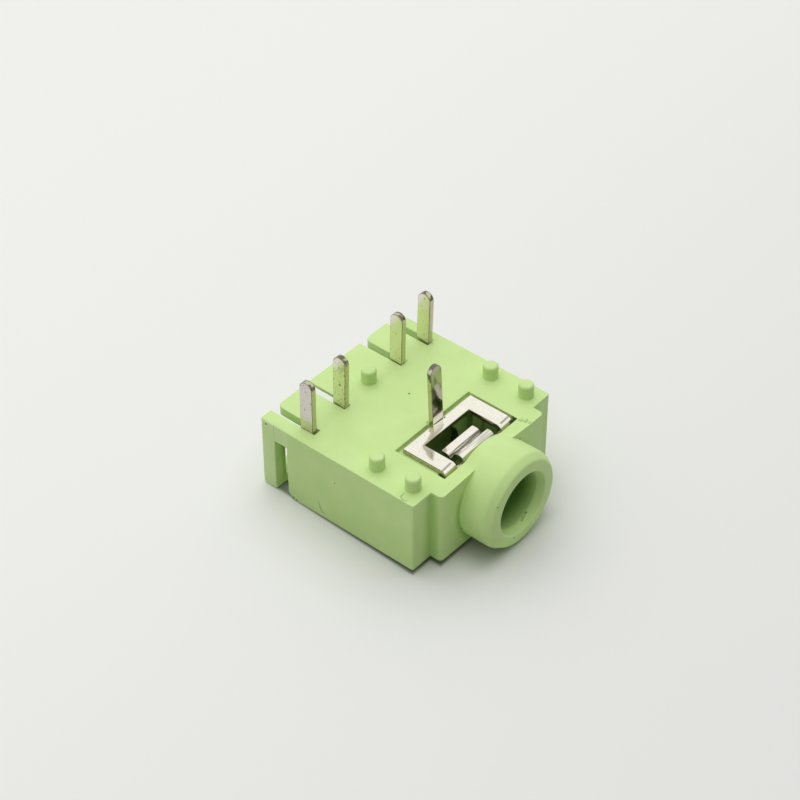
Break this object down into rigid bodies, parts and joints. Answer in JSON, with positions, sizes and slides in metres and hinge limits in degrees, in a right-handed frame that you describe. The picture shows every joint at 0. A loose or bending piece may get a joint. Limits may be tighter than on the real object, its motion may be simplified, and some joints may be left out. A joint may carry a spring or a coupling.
{
  "type": "pcb audio jack",
  "caption": "Board-mount stereo jack: a green moulded housing with a round bush, open rear and locating posts, and plated spring and switch contacts ending in solder pins.",
  "frame": {"origin": "centre of the bush mouth, on the plug axis", "axes": "+X across the jack, +Y into the jack along the plug axis, +Z out of the face that meets the board"},
  "size_m": [0.012, 0.014, 0.0093],
  "materials": {
    "housing": "satin moulded",
    "contacts": "bright tin plating"
  },
  "bodies": {
    "root": {"housing": "housing", "sleeve_contact": "contacts", "tip_spring": "contacts", "tip_switch": "contacts", "ring_spring": "contacts", "ring_switch": "contacts"}
  },
  "joints": []
}
